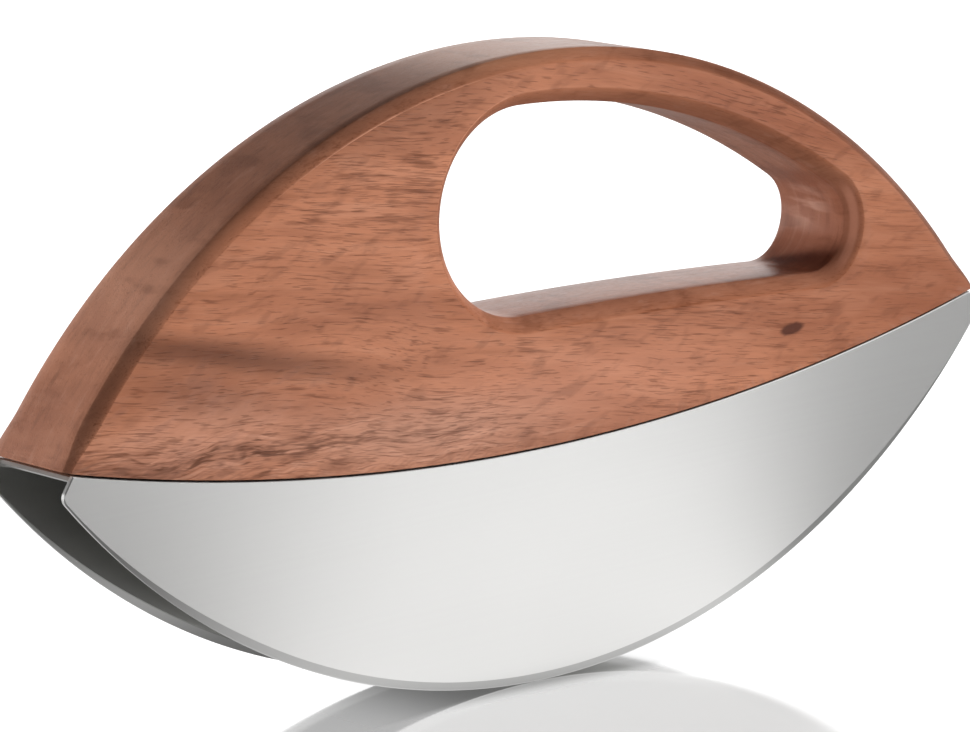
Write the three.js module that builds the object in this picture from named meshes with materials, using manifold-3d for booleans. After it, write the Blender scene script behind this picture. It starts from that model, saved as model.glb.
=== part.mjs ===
// Double mezzaluna: two parallel crescent blades under a wooden handle, rocked by hand to chop herbs.
// Millimetres. X runs along the tool, Y through its thickness (the front is -Y) and Z is up.
// Outlines are drawn in X and Z from the level of the two tips, where the handle meets the steel.
// The finished group is raised by the depth of the blades, so the cutting edges stand on Z = 0.

import * as THREE from "three";
import { mergeVertices } from "three/addons/utils/BufferGeometryUtils.js";
import Module from "manifold-3d";

// Handle
const tipSpan = 190; // from tip to tip of the handle
const crownRise = 50.9; // top of the handle above the tips
const seamSag = 11.4; // underside of the handle below the tips, at mid length
const bodyThickness = 19.4; // handle and blades are flush on both sides
const rimRound = 2; // round-over along the outer rim
const rimRoundAtTips = 1; // what is left of it at the very tips
const rimFadeLength = 8; // stretch of rim over which it dies away

// Grip opening: a wide end, a narrow nose, an arched ceiling and a slightly crowned floor
const gripWideRadius = 16.7;
const gripWideX = -3.8;
const gripWideBar = 8; // wood left between the rim and the wide end
const gripNoseRadius = 7.7;
const gripNoseX = 58.9;
const gripNoseBar = 8.5; // wood left between the rim and the nose
const gripCeilingRadius = 121;
const gripFloorRadius = 965;
const gripRound = 2.5; // round-over of both mouths

// Blades
const bladeThickness = 0.9;
const bladeDepth = 49.3; // cutting edge below the tips, at mid length
const bladeEndInset = 1.5; // ends of the blades inside the line of the rim
const bladeTipDrop = 4; // corner of each blade end below the tips
const bladeTipRadius = 1.6;
const bevelHeight = 1.4; // width of the ground bevel on each face
const seamGap = 0.35; // shadow line between handle and steel

// Bridge plate and its screws
const plateThickness = 1;
const plateEndInset = 0.3; // ends of the plate inside the ends of the blades
const screwCount = 4;
const screwSpacing = 48; // along the plate
const screwDiameter = 3.5;
const screwLength = 12; // under the head
const screwPointLength = 3;
const screwHeadDiameter = 6.4;
const screwHeadHeight = 2.2;
const screwHeadCrownRadius = 2.1; // flat middle of the domed head
const screwHeadSide = 0.9; // upright side of the head
const recessLength = 3.4; // cross recess for the driver
const recessWidth = 0.9;
const recessDepth = 1.2;
const fitGap = 0.3; // clearance round the screws and under their heads

// Facets and the spare length of cutting bodies
const rimSteps = 64;
const roundSteps = 5;
const edgeFacets = 72;
const arcSteps = 12;
const screwFacets = 20;
const spare = 5;
const skin = 0.02; // reach of a round-mouthed cutter past the faces it opens

// Arcs of the side view. All three have their centre on X = 0.
const halfSpan = tipSpan / 2;
const crownRadius = arcRadius(halfSpan, crownRise);
const crownZ = crownRise - crownRadius;
const seamRadius = arcRadius(halfSpan, seamSag);
const seamZ = seamRadius - seamSag;
const steelTopRadius = seamRadius + seamGap;
const bladeEndRadius = crownRadius - bladeEndInset;
const bladeCornerX = Math.sqrt(bladeEndRadius ** 2 - (bladeTipDrop + crownZ) ** 2);
const edgeRadius = arcRadius(bladeCornerX, bladeDepth - bladeTipDrop);
const edgeZ = edgeRadius - bladeDepth;

const wasm = await Module();
wasm.setup();

// Radius of an arc from its half chord and its rise.
function arcRadius(halfChord, rise) {
  return (halfChord ** 2 + rise ** 2) / (2 * rise);
}

// Crossing, on the +X side, of two circles whose centres lie on X = 0.
function axisCrossing(z1, r1, z2, r2) {
  const z = (r1 ** 2 - r2 ** 2 - z1 ** 2 + z2 ** 2) / (2 * (z2 - z1));
  const x = Math.sqrt(r1 ** 2 - (z - z1) ** 2);
  return new THREE.Vector2(x, z);
}

// Point on the ray from one point through another, at a given distance from the first.
function alongRay(from, through, distance) {
  return through.clone().sub(from).setLength(distance).add(from);
}

// Angle of a point seen from a centre.
function bearing(centre, point) {
  return point.clone().sub(centre).angle();
}

// A closed geometry as a solid that can be cut and joined.
function solidOf(geometry) {
  const bare = geometry.clone();
  bare.deleteAttribute("normal");
  bare.deleteAttribute("uv");
  const merged = mergeVertices(bare);
  const vertProperties = new Float32Array(merged.attributes.position.array);
  const triVerts = new Uint32Array(merged.index.array);
  return new wasm.Manifold(new wasm.Mesh({ numProp: 3, vertProperties, triVerts }));
}

// A named mesh from a finished solid.
function meshOf(name, solid, material) {
  const { vertProperties, triVerts } = solid.getMesh();
  const geometry = new THREE.BufferGeometry();
  geometry.setAttribute("position", new THREE.BufferAttribute(vertProperties, 3));
  geometry.setIndex(new THREE.BufferAttribute(triVerts, 1));
  geometry.computeVertexNormals();
  const mesh = new THREE.Mesh(geometry, material);
  mesh.name = name;
  return mesh;
}

// A side-view shape carried through the thickness, centred on Y = 0.
function plateOf(shape, thickness) {
  const geometry = new THREE.ExtrudeGeometry(shape, {
    depth: thickness,
    bevelEnabled: false,
    curveSegments: arcSteps,
  });
  geometry.rotateX(Math.PI / 2);
  geometry.translate(0, thickness / 2, 0);
  return geometry;
}

// A solid skinned over closed convex sections, each run counter-clockwise as seen from the first end.
function loftOf(sections) {
  const count = sections[0].length;
  const last = (sections.length - 1) * count;
  const index = [];
  for (let ring = 0; ring < sections.length - 1; ring++) {
    for (let i = 0; i < count; i++) {
      const a = ring * count + i;
      const b = ring * count + ((i + 1) % count);
      index.push(a, a + count, b, b, a + count, b + count);
    }
  }
  for (let i = 1; i < count - 1; i++) {
    index.push(0, i, i + 1, last, last + i + 1, last + i);
  }
  const geometry = new THREE.BufferGeometry().setFromPoints(sections.flat());
  geometry.setIndex(index);
  return geometry;
}

// Place of a screw on the plate: Z points out of the head's seat along the screw, square to the plate.
function screwSeat(number) {
  const along = (number - (screwCount - 1) / 2) * screwSpacing;
  const depth = steelTopRadius + plateThickness + fitGap;
  return new THREE.Matrix4()
    .makeTranslation(0, 0, seamZ)
    .multiply(new THREE.Matrix4().makeRotationY(-along / depth))
    .multiply(new THREE.Matrix4().makeTranslation(0, 0, -depth));
}

// Clearance hole of one screw, from below its seat to just past its point.
function screwHole(number) {
  const radius = screwDiameter / 2 + fitGap;
  const length = screwLength + fitGap + spare;
  const geometry = new THREE.CylinderGeometry(radius, radius, length, screwFacets);
  geometry.rotateX(Math.PI / 2);
  geometry.translate(0, 0, length / 2 - spare);
  geometry.applyMatrix4(screwSeat(number));
  return solidOf(geometry);
}

function drillForScrews(solid) {
  for (let number = 0; number < screwCount; number++) {
    solid = solid.subtract(screwHole(number));
  }
  return solid;
}

// Cross-section of the handle on a ray from the centre of its rim: a plank whose outer corners are rounded.
function handleSection(angle) {
  const tipAngle = Math.asin(halfSpan / crownRadius);
  const fromTip = (tipAngle - Math.abs(angle)) * crownRadius;
  const fade = THREE.MathUtils.smoothstep(fromTip, 0, rimFadeLength);
  const round = THREE.MathUtils.lerp(rimRoundAtTips, rimRound, fade);
  const half = bodyThickness / 2;
  const inner = -seamSag - crownZ - spare;
  const profile = [new THREE.Vector2(half, inner), new THREE.Vector2(-half, inner)];
  for (const side of [-1, 1]) {
    for (let step = 0; step <= roundSteps; step++) {
      const share = side < 0 ? step / roundSteps : 1 - step / roundSteps;
      const turn = (share * Math.PI) / 2;
      const y = side * (half - round * (1 - Math.cos(turn)));
      profile.push(new THREE.Vector2(y, crownRadius - round * (1 - Math.sin(turn))));
    }
  }
  const toWorld = ({ x: y, y: reach }) =>
    new THREE.Vector3(reach * Math.sin(angle), y, crownZ + reach * Math.cos(angle));
  return profile.map(toWorld);
}

// Everything below the handle's underside.
function belowSeam() {
  const reach = halfSpan + spare;
  const sweep = Math.asin(reach / seamRadius);
  const shape = new THREE.Shape();
  shape.absarc(0, seamZ, seamRadius, -Math.PI / 2 - sweep, -Math.PI / 2 + sweep, false);
  shape.lineTo(reach, crownZ - spare);
  shape.lineTo(-reach, crownZ - spare);
  return solidOf(plateOf(shape, bodyThickness + spare));
}

// Outline of the grip opening: both ends touch the ceiling arc from inside and the floor arc from outside.
function gripShape() {
  const wideReach = crownRadius - gripWideBar - gripWideRadius;
  const noseReach = crownRadius - gripNoseBar - gripNoseRadius;
  const wide = new THREE.Vector2(gripWideX, crownZ + Math.sqrt(wideReach ** 2 - gripWideX ** 2));
  const nose = new THREE.Vector2(gripNoseX, crownZ + Math.sqrt(noseReach ** 2 - gripNoseX ** 2));
  const ceiling = touchingCentre(
    wide,
    gripCeilingRadius - gripWideRadius,
    nose,
    gripCeilingRadius - gripNoseRadius,
  );
  const floor = touchingCentre(
    wide,
    gripFloorRadius + gripWideRadius,
    nose,
    gripFloorRadius + gripNoseRadius,
  );
  const full = 2 * Math.PI;
  const shape = new THREE.Shape();
  const wideTop = bearing(ceiling, wide);
  const noseTop = bearing(ceiling, nose);
  const wideLow = bearing(wide, floor);
  const noseLow = bearing(nose, floor);
  shape.absarc(wide.x, wide.y, gripWideRadius, wideTop, wideLow, false);
  shape.absarc(floor.x, floor.y, gripFloorRadius, bearing(floor, wide), bearing(floor, nose), true);
  shape.absarc(nose.x, nose.y, gripNoseRadius, noseLow, noseTop + full, false);
  shape.absarc(ceiling.x, ceiling.y, gripCeilingRadius, noseTop, wideTop, false);
  return shape;
}

// Centre, below two points, of a circle at a given distance from each.
function touchingCentre(left, leftDistance, right, rightDistance) {
  const span = right.clone().sub(left);
  const gap = span.length();
  const along = (gap ** 2 + leftDistance ** 2 - rightDistance ** 2) / (2 * gap);
  const aside = Math.sqrt(leftDistance ** 2 - along ** 2);
  const unit = span.divideScalar(gap);
  const down = new THREE.Vector2(unit.y, -unit.x);
  return left.clone().addScaledVector(unit, along).addScaledVector(down, aside);
}

// Body of the grip opening, flared at both mouths so that it leaves their edges rounded over.
function gripCutter() {
  const straight = bodyThickness - 2 * gripRound + 2 * skin;
  const geometry = new THREE.ExtrudeGeometry(gripShape(), {
    depth: straight,
    bevelEnabled: true,
    bevelThickness: gripRound,
    bevelSize: -gripRound,
    bevelOffset: gripRound,
    bevelSegments: roundSteps,
    curveSegments: arcSteps,
  });
  geometry.rotateX(Math.PI / 2);
  geometry.translate(0, straight / 2, 0);
  return solidOf(geometry);
}

// The handle: a lofted lens of wood, trimmed along the seam, with the grip opening and the screw holes.
function handle() {
  const sweep = Math.asin(halfSpan / crownRadius) + spare / crownRadius;
  const sections = [];
  for (let step = 0; step <= rimSteps; step++) {
    sections.push(handleSection(THREE.MathUtils.lerp(-sweep, sweep, step / rimSteps)));
  }
  const lens = solidOf(loftOf(sections)).subtract(belowSeam());
  const wood = new THREE.MeshStandardMaterial({ color: 0xb0765c, roughness: 0.45, metalness: 0 });
  return meshOf("handle", drillForScrews(lens.subtract(gripCutter())), wood);
}

// Outline of a blade blank: seam arc on top, ends that carry on the line of the rim, and rounded corners.
function bladeShape() {
  const crown = new THREE.Vector2(0, crownZ);
  const edge = new THREE.Vector2(0, edgeZ);
  const seam = new THREE.Vector2(0, seamZ);
  const top = axisCrossing(crownZ, bladeEndRadius, seamZ, steelTopRadius);
  const corner = axisCrossing(crownZ, bladeEndRadius - bladeTipRadius, edgeZ, edgeRadius - bladeTipRadius);
  const mirrored = corner.clone().setX(-corner.x);
  const blankRadius = edgeRadius + bevelHeight;
  const blankFoot = alongRay(edge, corner, blankRadius);
  const endLow = bearing(crown, corner);
  const footAngle = bearing(edge, corner);
  const topAngle = bearing(seam, top);
  const full = 2 * Math.PI;
  const shape = new THREE.Shape();
  shape.absarc(0, seamZ, steelTopRadius, 3 * Math.PI - topAngle, topAngle, false);
  shape.absarc(corner.x, corner.y, bladeTipRadius, endLow, footAngle - full, true);
  shape.lineTo(blankFoot.x, blankFoot.y);
  shape.absarc(0, edgeZ, blankRadius, footAngle, 3 * Math.PI - footAngle, true);
  shape.absarc(mirrored.x, mirrored.y, bladeTipRadius, 3 * Math.PI - footAngle, Math.PI - endLow, true);
  return shape;
}

// Disc ground to an edge from both sides. One facet of its rim is level at the foot, where the tool stands.
function groundDisc() {
  const stretch = 1 / Math.cos(Math.PI / edgeFacets);
  const half = bladeThickness / 2;
  const profile = [
    new THREE.Vector2(0, -half),
    new THREE.Vector2((edgeRadius - bevelHeight) * stretch, -half),
    new THREE.Vector2(edgeRadius * stretch, 0),
    new THREE.Vector2((edgeRadius - bevelHeight) * stretch, half),
    new THREE.Vector2(0, half),
  ];
  const geometry = new THREE.LatheGeometry(profile, edgeFacets, Math.PI / edgeFacets);
  geometry.translate(0, 0, edgeZ);
  return solidOf(geometry);
}

// A blade: the blank ground by the disc, then set against one side of the body.
function blade(name, side) {
  const blank = solidOf(plateOf(bladeShape(), bladeThickness + spare));
  const steel = new THREE.MeshStandardMaterial({ color: 0xc6c8c9, roughness: 0.32, metalness: 1 });
  const mesh = meshOf(name, groundDisc().intersect(blank), steel);
  mesh.position.y = (side * (bodyThickness - bladeThickness)) / 2;
  return mesh;
}

// The plate that bridges the blades along the seam and carries the handle's screws.
function bridgePlate() {
  const endRadius = bladeEndRadius - plateEndInset;
  const lowRadius = steelTopRadius + plateThickness;
  const seam = new THREE.Vector2(0, seamZ);
  const upper = axisCrossing(crownZ, endRadius, seamZ, steelTopRadius);
  const lower = axisCrossing(crownZ, endRadius, seamZ, lowRadius);
  const upperAngle = bearing(seam, upper);
  const lowerAngle = bearing(seam, lower);
  const shape = new THREE.Shape();
  shape.absarc(0, seamZ, steelTopRadius, 3 * Math.PI - upperAngle, upperAngle, false);
  shape.absarc(0, seamZ, lowRadius, lowerAngle, 3 * Math.PI - lowerAngle, true);
  const plate = solidOf(plateOf(shape, bodyThickness - 2 * bladeThickness));
  const steel = new THREE.MeshStandardMaterial({ color: 0xb4b6b8, roughness: 0.4, metalness: 1 });
  return meshOf("bridge_plate", drillForScrews(plate), steel);
}

// One bar of the cross recess in a screw head.
function recessBar(length, width) {
  const geometry = new THREE.BoxGeometry(length, width, 2 * recessDepth);
  geometry.translate(0, 0, -screwHeadHeight);
  return solidOf(geometry);
}

// A pan-head wood screw, seated under the bridge plate.
function screw(number) {
  const headRadius = screwHeadDiameter / 2;
  const shankRadius = screwDiameter / 2;
  const profile = [
    new THREE.Vector2(0, -screwHeadHeight),
    new THREE.Vector2(screwHeadCrownRadius, -screwHeadHeight),
    new THREE.Vector2(headRadius, -screwHeadSide),
    new THREE.Vector2(headRadius, 0),
    new THREE.Vector2(shankRadius, 0),
    new THREE.Vector2(shankRadius, screwLength - screwPointLength),
    new THREE.Vector2(0, screwLength),
  ];
  const geometry = new THREE.LatheGeometry(profile, screwFacets);
  geometry.rotateX(Math.PI / 2);
  const body = solidOf(geometry)
    .subtract(recessBar(recessLength, recessWidth))
    .subtract(recessBar(recessWidth, recessLength));
  const steel = new THREE.MeshStandardMaterial({ color: 0xa9abad, roughness: 0.35, metalness: 1 });
  const mesh = meshOf(`screw_${number + 1}`, body, steel);
  mesh.applyMatrix4(screwSeat(number));
  return mesh;
}

const mezzaluna = new THREE.Group();
mezzaluna.add(handle(), blade("front_blade", -1), blade("rear_blade", 1), bridgePlate());
for (let number = 0; number < screwCount; number++) {
  mezzaluna.add(screw(number));
}
mezzaluna.position.z = bladeDepth;

export default mezzaluna;
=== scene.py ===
# Double mezzaluna on a white studio floor: the fine surfaces and finishes of its eight pieces.
# Metres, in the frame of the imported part: X along the tool, Y through it with the front at -Y, Z up.

import math

import bmesh
import bpy
import numpy as np
from mathutils import Matrix, Vector


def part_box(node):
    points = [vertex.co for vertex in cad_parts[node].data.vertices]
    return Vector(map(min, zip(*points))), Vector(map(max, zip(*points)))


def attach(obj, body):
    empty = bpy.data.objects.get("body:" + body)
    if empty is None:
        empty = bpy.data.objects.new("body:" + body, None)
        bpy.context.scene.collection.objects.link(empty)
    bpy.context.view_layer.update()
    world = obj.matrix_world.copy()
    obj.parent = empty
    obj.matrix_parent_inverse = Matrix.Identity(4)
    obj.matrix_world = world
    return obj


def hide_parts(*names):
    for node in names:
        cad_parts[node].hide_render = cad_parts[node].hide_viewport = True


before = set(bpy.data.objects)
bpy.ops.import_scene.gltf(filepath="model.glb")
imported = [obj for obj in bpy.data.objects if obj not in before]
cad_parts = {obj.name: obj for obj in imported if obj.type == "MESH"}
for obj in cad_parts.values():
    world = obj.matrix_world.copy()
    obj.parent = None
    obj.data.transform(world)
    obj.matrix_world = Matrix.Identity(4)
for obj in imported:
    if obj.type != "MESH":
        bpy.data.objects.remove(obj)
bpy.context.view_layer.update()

# Sizes that the frame gives
MM = 0.001
handle_low, handle_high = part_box("handle")
blade_low, blade_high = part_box("front_blade")
HALF_BODY = handle_high.y
BLADE_THICKNESS = blade_high.y - blade_low.y

# Side view: arcs with their centres on X = 0, from the level of the two tips
TIP_LEVEL = 49.3 * MM
HALF_SPAN = 95 * MM
CROWN_RISE = handle_high.z - TIP_LEVEL
SEAM_SAG = TIP_LEVEL - handle_low.z
SEAM_GAP = 0.35 * MM
RIM_ROUND = 2 * MM
RIM_ROUND_AT_TIPS = 1 * MM
RIM_FADE_LENGTH = 8 * MM
EASE_POWER = 1.6  # 1 is a quarter round and 2 a flat chamfer

# Grip opening
GRIP_WIDE_RADIUS = 16.7 * MM
GRIP_WIDE_X = -3.8 * MM
GRIP_WIDE_BAR = 8 * MM
GRIP_NOSE_RADIUS = 7.7 * MM
GRIP_NOSE_X = 58.9 * MM
GRIP_NOSE_BAR = 8.5 * MM
GRIP_CEILING_RADIUS = 121 * MM
GRIP_FLOOR_RADIUS = 965 * MM
GRIP_ROUND = 2.5 * MM

# Blades
BLADE_DEPTH = TIP_LEVEL - blade_low.z
BLADE_END_INSET = 1.5 * MM
BLADE_TIP_DROP = 4 * MM
BLADE_TIP_RADIUS = 1.6 * MM
BEVEL_HEIGHT = 1.4 * MM
BEVEL_FADE_STEPS = 66  # steps of the cutting edge over which the bevel dies away at each end
EDGE_LAND = 0.03 * MM  # width left at the very edge by the last honing
EDGE_BREAK = 0.16 * MM  # chamfer along the top and the ends

# Bridge plate and its screws
PLATE_THICKNESS = 1 * MM
PLATE_END_INSET = 0.3 * MM
PLATE_BREAK = 0.22 * MM  # chamfer round the plate's ends
WELD_FILLET = 0.45 * MM
SCREW_COUNT = 4
SCREW_SPACING = 48 * MM
SCREW_RADIUS = 1.75 * MM
SCREW_LENGTH = 12 * MM
SCREW_POINT_LENGTH = 3 * MM
SCREW_PLAIN_LENGTH = 2 * MM
THREAD_PITCH = 1.5 * MM
THREAD_DEPTH = 0.45 * MM
THREAD_RUN_IN = 0.8 * MM
HEAD_RADIUS = 3.2 * MM
HEAD_HEIGHT = 2.2 * MM
HEAD_SIDE = 0.9 * MM
HEAD_DOME_POWER = 2.5  # 2 is an ellipse, and more is flatter on top
RECESS_LENGTH = 3.4 * MM
RECESS_WIDTH = 0.9 * MM
RECESS_DEPTH = 1.2 * MM
RECESS_EASE = 0.12 * MM
SEAT_GAP = 0.3 * MM

# Counts of the grids
RIM_ROWS = 361
SEAM_ROWS = 281
ROUND_STEPS = 10
FLAT_STEPS = 8
FACE_STEPS = 8
EDGE_STEPS = 150
CORNER_STEPS = 16
END_STEPS = 6
PLATE_ROWS = 161
GRIP_ARC_STEPS = 600
SCREW_SIDES = 64
SCREW_HEAD_ROWS = 49
SCREW_SHANK_ROWS = 121
WELD_DISTANCE = 0.002 * MM  # points of a piece's grids that are nearer than this are one


def arc_radius(half_chord, rise):
    """Radius of an arc from its half chord and its rise."""
    return (half_chord**2 + rise**2) / (2 * rise)


CROWN_RADIUS = arc_radius(HALF_SPAN, CROWN_RISE)
CROWN_Z = TIP_LEVEL + CROWN_RISE - CROWN_RADIUS
SEAM_RADIUS = arc_radius(HALF_SPAN, SEAM_SAG)
SEAM_Z = TIP_LEVEL + SEAM_RADIUS - SEAM_SAG
STEEL_TOP_RADIUS = SEAM_RADIUS + SEAM_GAP
BLADE_END_RADIUS = CROWN_RADIUS - BLADE_END_INSET
BLADE_CORNER_X = math.sqrt(BLADE_END_RADIUS**2 - (TIP_LEVEL - BLADE_TIP_DROP - CROWN_Z) ** 2)
EDGE_RADIUS = arc_radius(BLADE_CORNER_X, BLADE_DEPTH - BLADE_TIP_DROP)
EDGE_Z = TIP_LEVEL + EDGE_RADIUS - BLADE_DEPTH


def axis_crossing(z1, r1, z2, r2):
    """Crossing, on the +X side, of two circles whose centres lie on X = 0; radii may be arrays."""
    z = (r1**2 - r2**2 - z1**2 + z2**2) / (2 * (z2 - z1))
    return np.sqrt(r1**2 - (z - z1) ** 2), z


def smoothstep(value, low, high):
    """0 below low, 1 above high, and the cubic 3t^2 - 2t^3 between."""
    t = np.clip((value - low) / (high - low), 0, 1)
    return t * t * (3 - 2 * t)


def grid(x, y, z):
    """Three arrays broadcast to one grid of points."""
    return np.stack(np.broadcast_arrays(x, y, z), axis=-1)


def between(first, last, steps):
    """Ruled surface: rows of points that run in a straight line from one row to another."""
    share = np.linspace(0, 1, steps + 1)[:, None, None]
    return first + (last - first) * share


def quads(patch, start):
    """Faces of a grid, four neighbours to each, with its points numbered from start."""
    rows, columns = patch.shape[:2]
    number = start + np.arange(rows * columns).reshape(rows, columns)
    corners = [number[:-1, :-1], number[1:, :-1], number[1:, 1:], number[:-1, 1:]]
    return np.stack(corners, axis=-1).reshape(-1, 4)


def piece(name, patches, finish, sharp_degrees, marks=None):
    """One welded mesh from grids of points, riding on the tool, with its marks as attributes."""
    points = np.concatenate([patch.reshape(-1, 3) for patch in patches])
    faces = []
    start = 0
    for patch in patches:
        faces.append(quads(patch, start))
        start += patch.shape[0] * patch.shape[1]
    mesh = bpy.data.meshes.new(name)
    mesh.from_pydata(points.tolist(), [], np.concatenate(faces).tolist())
    for key, values in (marks or {}).items():
        mesh.attributes.new(key, "FLOAT", "POINT").data.foreach_set("value", values)
    weld = bmesh.new()
    weld.from_mesh(mesh)
    bmesh.ops.remove_doubles(weld, verts=weld.verts, dist=WELD_DISTANCE)
    bmesh.ops.recalc_face_normals(weld, faces=weld.faces)
    weld.to_mesh(mesh)
    weld.free()
    mesh.shade_smooth()
    mesh.set_sharp_from_angle(angle=math.radians(sharp_degrees))
    mesh.materials.append(finish)
    made = bpy.data.objects.new(name, mesh)
    bpy.context.scene.collection.objects.link(made)
    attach(made, "root")
    return made


def touching_centre(left, left_distance, right, right_distance):
    """Centre, below two points, of a circle at a given distance from each."""
    span = right - left
    gap = np.hypot(*span)
    along = (gap**2 + left_distance**2 - right_distance**2) / (2 * gap)
    aside = math.sqrt(left_distance**2 - along**2)
    unit = span / gap
    return left + unit * along + np.array([unit[1], -unit[0]]) * aside


def bearing(centre, point):
    """Angle of a point seen from a centre."""
    return math.atan2(point[1] - centre[1], point[0] - centre[0])


def grip_outline():
    """Throat of the grip opening in X and Z, with normals into the wood: four arcs, end to end.

    Both round ends touch the ceiling arc from inside and the floor arc from outside.
    """
    wide_reach = CROWN_RADIUS - GRIP_WIDE_BAR - GRIP_WIDE_RADIUS
    nose_reach = CROWN_RADIUS - GRIP_NOSE_BAR - GRIP_NOSE_RADIUS
    wide = np.array([GRIP_WIDE_X, CROWN_Z + math.sqrt(wide_reach**2 - GRIP_WIDE_X**2)])
    nose = np.array([GRIP_NOSE_X, CROWN_Z + math.sqrt(nose_reach**2 - GRIP_NOSE_X**2)])
    ceiling = touching_centre(
        wide, GRIP_CEILING_RADIUS - GRIP_WIDE_RADIUS, nose, GRIP_CEILING_RADIUS - GRIP_NOSE_RADIUS
    )
    floor = touching_centre(
        wide, GRIP_FLOOR_RADIUS + GRIP_WIDE_RADIUS, nose, GRIP_FLOOR_RADIUS + GRIP_NOSE_RADIUS
    )
    full = 2 * math.pi
    arcs = [
        (wide, GRIP_WIDE_RADIUS, bearing(ceiling, wide), bearing(wide, floor) + full, 1),
        (floor, GRIP_FLOOR_RADIUS, bearing(floor, wide), bearing(floor, nose), -1),
        (nose, GRIP_NOSE_RADIUS, bearing(nose, floor), bearing(ceiling, nose), 1),
        (ceiling, GRIP_CEILING_RADIUS, bearing(ceiling, nose), bearing(ceiling, wide), 1),
    ]
    points = []
    normals = []
    for centre, radius, begin, end, outward in arcs:
        angle = np.linspace(begin, end, GRIP_ARC_STEPS, endpoint=False)
        ray = np.stack([np.cos(angle), np.sin(angle)], axis=-1)
        points.append(centre + ray * radius)
        normals.append(ray * outward)
    return np.concatenate(points), np.concatenate(normals), (wide + nose) / 2


def handle():
    """Arched wooden grip: rim, underside, two flat faces and the wall of the grip opening.

    Rim and underside share their columns: up an eased corner, straight across, down an eased corner.
    The corner is the quarter of a superellipse, a chamfer whose two borders are sanded round.
    The rim sweeps them about the crown's centre and the underside lays them along the seam's arc.
    Rays from the middle of the opening pair the points of a face's outer edge with those of the mouth.
    """
    turn = np.linspace(0, math.pi / 2, ROUND_STEPS + 1)
    flat = np.linspace(-1, 1, FLAT_STEPS + 1)[1:-1]
    side = np.concatenate([-np.ones_like(turn), flat, np.ones_like(turn)])
    drawn = 1 - np.cos(turn) ** EASE_POWER
    aside = np.concatenate([drawn, np.ones_like(flat), drawn[::-1]])
    below = np.concatenate([drawn[::-1], np.zeros_like(flat), drawn])

    share = np.linspace(-1, 1, RIM_ROWS)[:, None]
    tip_x, tip_z = axis_crossing(CROWN_Z, CROWN_RADIUS - RIM_ROUND_AT_TIPS * below, SEAM_Z, SEAM_RADIUS)
    tip_angle = np.arctan2(tip_x, tip_z - CROWN_Z)
    from_tip = (1 - np.abs(share)) * tip_angle.max() * CROWN_RADIUS
    fade = smoothstep(from_tip, 0, RIM_FADE_LENGTH)
    ease = RIM_ROUND_AT_TIPS + (RIM_ROUND - RIM_ROUND_AT_TIPS) * fade
    reach = CROWN_RADIUS - ease * below
    angle = tip_angle * share
    across = side * (HALF_BODY - ease * aside)
    rim = grid(reach * np.sin(angle), across, CROWN_Z + reach * np.cos(angle))

    x = tip_x * np.linspace(-1, 1, SEAM_ROWS)[:, None]
    underside = grid(x, rim[0, :, 1], SEAM_Z - np.sqrt(SEAM_RADIUS**2 - x**2))

    throat, normal, eye = grip_outline()
    mouth = throat + normal * GRIP_ROUND
    mouth_bearing = np.arctan2(mouth[:, 1] - eye[1], mouth[:, 0] - eye[0])
    outer = np.concatenate([rim[:, 0], underside[::-1, 0], rim[:1, 0]])[:, [0, 2]]
    outer_bearing = np.arctan2(outer[:, 1] - eye[1], outer[:, 0] - eye[0])
    full = 2 * math.pi
    columns = [np.interp(outer_bearing, mouth_bearing, c, period=full) for c in (*mouth.T, *normal.T)]
    mouth = np.stack(columns[:2], axis=-1)
    normal = np.stack(columns[2:], axis=-1)
    normal /= np.linalg.norm(normal, axis=-1, keepdims=True)
    wall = mouth[:, None] - normal[:, None] * (GRIP_ROUND * (1 - below))[None, :, None]
    wall = grid(wall[..., 0], side * (HALF_BODY - GRIP_ROUND * aside), wall[..., 1])

    front_edge = grid(outer[:, 0], -HALF_BODY, outer[:, 1])
    rear_edge = grid(outer[:, 0], HALF_BODY, outer[:, 1])
    front = between(wall[:, 0], front_edge, FACE_STEPS)
    rear = between(wall[:, -1], rear_edge, FACE_STEPS)

    on_corner = np.sin(2 * np.concatenate([turn, np.zeros_like(flat), turn[::-1]]))
    off_face = np.concatenate([np.sin(turn), np.ones_like(flat), np.sin(turn[::-1])])
    marks = {}
    for key, profile, on_underside in (("mid_corner", on_corner, 0), ("end_grain", off_face, 1)):
        values = [np.broadcast_to(profile, rim.shape[:2]), np.full(underside.shape[:2], on_underside)]
        values.append(np.broadcast_to(profile, wall.shape[:2]))
        values += [np.zeros(front.shape[:2]), np.zeros(rear.shape[:2])]
        marks[key] = np.concatenate([v.ravel() for v in values])
    patches = [rim, underside, wall, front, rear]
    made = piece("grip_handle", patches, OiledWood().material, sharp_degrees=40, marks=marks)
    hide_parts("handle")


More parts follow.
